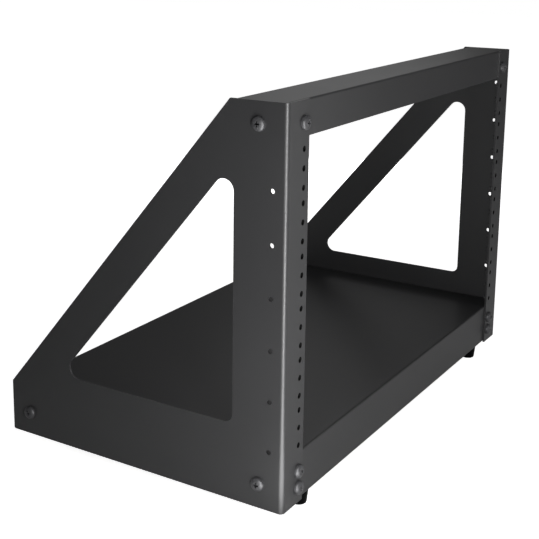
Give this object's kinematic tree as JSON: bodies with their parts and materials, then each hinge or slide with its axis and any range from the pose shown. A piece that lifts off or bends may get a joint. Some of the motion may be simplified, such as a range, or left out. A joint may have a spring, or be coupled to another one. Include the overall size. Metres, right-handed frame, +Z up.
{
  "type": "desktop open frame equipment rack",
  "caption": "Low desktop open frame rack in folded sheet steel: side panels with sloping backs, triangular windows and drilled front flanges, joined by a top bar and a shelf, on short feet.",
  "frame": {"origin": "ground level under the middle of the rack, half way between the front screw heads and the panels' rear edges", "axes": "+X to the rack's right as seen from the front, +Y to the back, +Z up"},
  "size_m": [0.5256, 0.3064, 0.361],
  "materials": {
    "powder_coat": "satin",
    "screw_steel": "satin",
    "foot_rubber": "gloss"
  },
  "bodies": {
    "root": {"left_side_panel": "powder_coat", "right_side_panel": "powder_coat", "top_bar": "powder_coat", "bottom_shelf": "powder_coat", "left_panel_top_screw": "screw_steel", "left_panel_front_screw": "screw_steel", "left_panel_rear_screw": "screw_steel", "right_panel_top_screw": "screw_steel", "right_panel_front_screw": "screw_steel", "right_panel_rear_screw": "screw_steel", "left_flange_top_screw": "screw_steel", "left_flange_middle_screw": "screw_steel", "left_flange_low_screw": "screw_steel", "right_flange_top_screw": "screw_steel", "right_flange_middle_screw": "screw_steel", "right_flange_low_screw": "screw_steel", "front_left_foot_screw": "screw_steel", "front_right_foot_screw": "screw_steel", "rear_left_foot_screw": "screw_steel", "rear_right_foot_screw": "screw_steel", "front_left_foot": "foot_rubber", "front_right_foot": "foot_rubber", "rear_left_foot": "foot_rubber", "rear_right_foot": "foot_rubber"}
  },
  "joints": []
}
